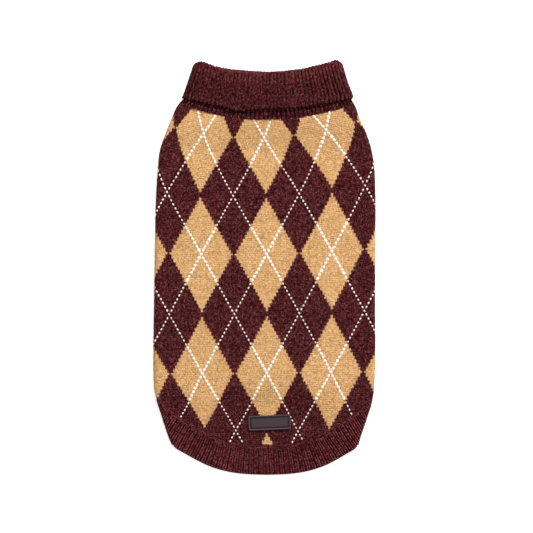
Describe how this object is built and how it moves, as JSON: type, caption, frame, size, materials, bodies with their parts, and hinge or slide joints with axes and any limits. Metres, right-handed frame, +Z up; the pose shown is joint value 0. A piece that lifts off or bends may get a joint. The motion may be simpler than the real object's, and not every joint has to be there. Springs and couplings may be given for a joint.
{
  "type": "dog sweater",
  "caption": "Knitted roll-neck dog sweater with an argyle back, plain belly, ribbed hem and leg holes, lying flat with its back up.",
  "frame": {"origin": "centre of the bounding box's base, on the surface that the sweater lies on", "axes": "+Y along the length from the rounded hem to the roll neck, +X across to the right as seen from above, +Z up out of the surface"},
  "size_m": [0.2141, 0.3982, 0.0116],
  "materials": {
    "argyle_wool": "soft brushed wool knit, maroon and camel argyle with off-white overcheck lines",
    "plain_wool": "soft brushed wool stocking stitch, maroon",
    "rib_wool": "ribbed wool knit, maroon",
    "label_rubber": "matte moulded rubber, bare"
  },
  "bodies": {
    "root": {"back_panel": "argyle_wool", "belly_panel": "plain_wool", "collar": "rib_wool", "hem_rib": "rib_wool", "belly_rib": "rib_wool", "leg_rib_left": "rib_wool", "leg_rib_right": "rib_wool", "label_patch": "label_rubber"}
  },
  "joints": []
}
